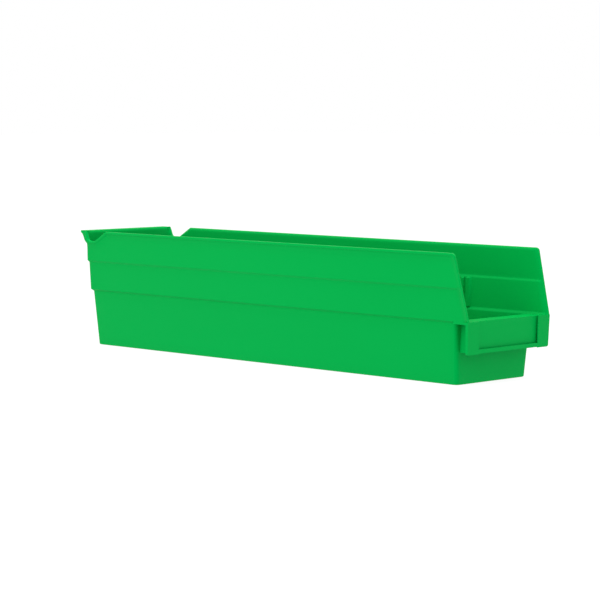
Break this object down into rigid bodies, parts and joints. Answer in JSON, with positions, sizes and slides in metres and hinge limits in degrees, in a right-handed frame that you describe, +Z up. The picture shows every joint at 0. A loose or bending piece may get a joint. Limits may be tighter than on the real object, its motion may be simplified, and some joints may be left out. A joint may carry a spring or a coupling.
{
  "type": "shelf bin",
  "caption": "Long narrow open shelf bin with stepped side walls, divider guides, a sloped low mouth, a label panel with card rails at the front and a hang lip at the rear.",
  "frame": {"origin": "on the floor plane under the middle of the bin's bounding box", "axes": "+Z up, -Y towards the mouth and label panel, +Y towards the hang lip, +X to the bin's right seen from behind the mouth looking in"},
  "size_m": [0.1028, 0.454, 0.1016],
  "materials": {
    "bin_plastic": "satin moulded polypropylene, coloured through"
  },
  "bodies": {
    "root": {"floor": "bin_plastic", "front_shelf": "bin_plastic", "front_wall": "bin_plastic", "hang_lip": "bin_plastic", "label_panel": "bin_plastic", "label_stop_rail": "bin_plastic", "left_label_rail": "bin_plastic", "left_lip_gusset": "bin_plastic", "left_lower_wall": "bin_plastic", "left_middle_wall": "bin_plastic", "left_notch_rim": "bin_plastic", "left_panel_web": "bin_plastic", "left_rim": "bin_plastic", "left_upper_wall": "bin_plastic", "rear_lower_wall": "bin_plastic", "rear_middle_wall": "bin_plastic", "rear_upper_wall": "bin_plastic", "right_label_rail": "bin_plastic", "right_lip_gusset": "bin_plastic", "right_lower_wall": "bin_plastic", "right_middle_wall": "bin_plastic", "right_notch_rim": "bin_plastic", "right_panel_web": "bin_plastic", "right_rim": "bin_plastic", "right_upper_wall": "bin_plastic"}
  },
  "joints": []
}
